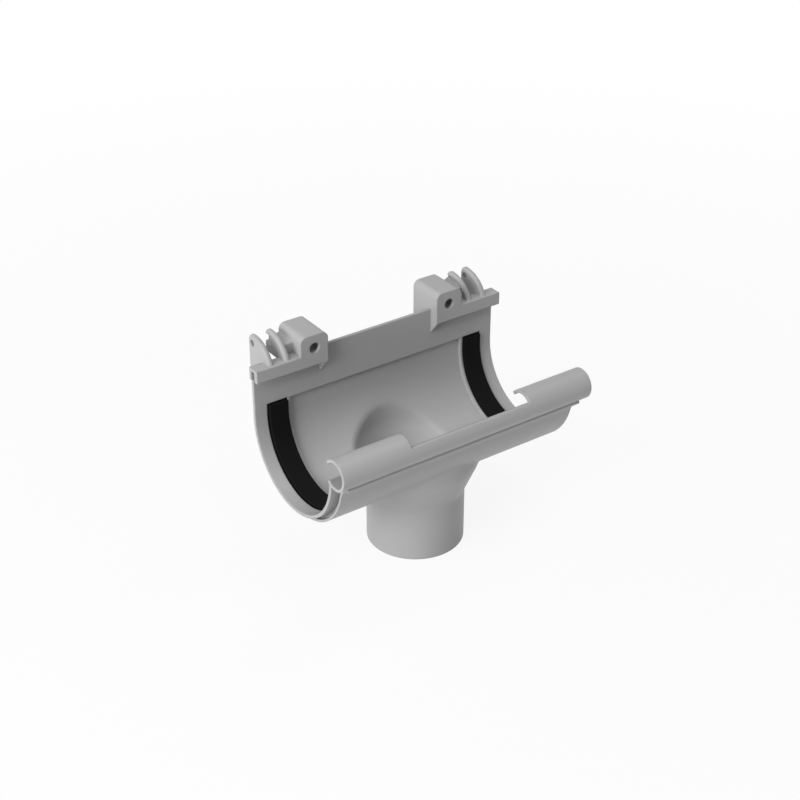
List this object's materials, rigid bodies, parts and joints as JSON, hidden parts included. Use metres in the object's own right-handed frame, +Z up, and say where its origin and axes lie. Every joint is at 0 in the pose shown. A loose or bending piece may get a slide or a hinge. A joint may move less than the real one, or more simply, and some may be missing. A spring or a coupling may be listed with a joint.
{
  "type": "gutter outlet",
  "caption": "Running outlet for half-round guttering: a short trough with rubber seals, a rolled front edge, fascia screw blocks and hinge plates, and a funnel into a round spigot.",
  "frame": {"origin": "centre of the spigot's lower end", "axes": "+Z up along the spigot, X along the gutter, -Y the rolled front edge, +Y the fascia"},
  "size_m": [0.233, 0.1512, 0.1845],
  "materials": {
    "grey_plastic": "satin",
    "seal_rubber": "matt"
  },
  "bodies": {
    "root": {"outlet_body": "grey_plastic", "seal_left": "seal_rubber", "seal_right": "seal_rubber"}
  },
  "joints": []
}
